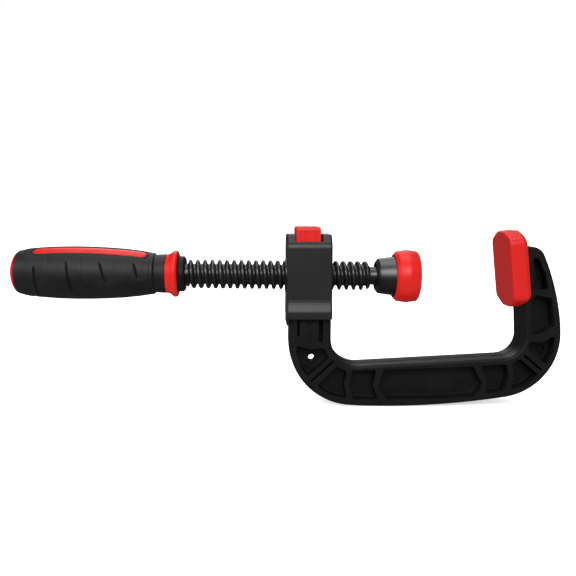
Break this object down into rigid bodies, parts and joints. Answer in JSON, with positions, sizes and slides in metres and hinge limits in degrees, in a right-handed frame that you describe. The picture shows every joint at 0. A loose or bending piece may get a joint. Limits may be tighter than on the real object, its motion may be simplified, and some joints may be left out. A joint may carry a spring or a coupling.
{
  "type": "quick-release screw clamp",
  "caption": "One-piece ribbed moulded C frame with a quick-release screw, long barrel grip, tilting round swivel jaw and a wide leaning fixed jaw pad.",
  "frame": {"origin": "centre of the fixed jaw pad's face", "axes": "+X along the clamp from the handle towards the fixed jaw, Y through the frame's thickness, +Z from the bar towards the release button"},
  "size_m": [0.3763, 0.0364, 0.1232],
  "materials": {
    "nylon": "moulded glass-filled nylon, satin black",
    "hard_black_plastic": "smooth satin black moulding",
    "grip_rubber": "soft matt over-moulding",
    "red_plastic": "semi-gloss red moulding",
    "red_inlay": "glossy red inlay",
    "black_steel": "black-oxide steel, lightly oiled",
    "steel": "zinc-plated steel"
  },
  "bodies": {
    "frame": {"c_frame": "nylon", "head_cover": "nylon", "guide_bush_left": "black_steel", "guide_bush_right": "black_steel", "fixed_jaw_pad": "red_plastic", "return_spring": "steel"},
    "release": {"release_button": "red_plastic", "half_nut": "steel", "link_pin": "steel"},
    "carriage": {"retaining_ring": "steel"},
    "screw": {"spindle": "black_steel", "handle_core": "hard_black_plastic", "handle_grip": "grip_rubber", "inlay_front": "red_inlay", "inlay_back": "red_inlay", "handle_flange": "red_plastic", "handle_collar": "hard_black_plastic", "end_cap": "red_plastic", "handle_pin": "steel"},
    "socket": {"socket_insert": "hard_black_plastic"},
    "swivel": {"swivel_cup": "hard_black_plastic", "swivel_pad": "red_plastic"}
  },
  "joints": [
    {"name": "spindle_feed", "type": "slide", "parent": "frame", "child": "carriage", "axis": [0.9999, 0, -0.0108], "range_m": [-0.0271, 0.0541]},
    {"name": "spindle_spin", "type": "hinge", "parent": "carriage", "child": "screw", "pos_m": [-0.1342, 0, -0.0042], "axis": [0.9999, 0, -0.0108], "range_deg": [-1944, 3888]},
    {"name": "swivel_pitch", "type": "hinge", "parent": "carriage", "child": "socket", "pos_m": [-0.0792, 0, -0.00479], "axis": [0, 1, 0], "range_deg": [-8, 8]},
    {"name": "swivel_yaw", "type": "hinge", "parent": "socket", "child": "swivel", "pos_m": [-0.0792, 0, -0.00479], "axis": [0.0108, 0, 0.9999], "range_deg": [-8, 8]},
    {"name": "button_press", "type": "slide", "parent": "frame", "child": "release", "axis": [0, 0, -1], "range_m": [0, 0.0033], "stiffness_N_per_m": 500, "springref_m": -0.002, "deforming": ["return_spring"]}
  ],
  "couplings": [
    {"joint": "spindle_feed", "follows": "spindle_spin", "m_per_rad": 0.00079577}
  ]
}
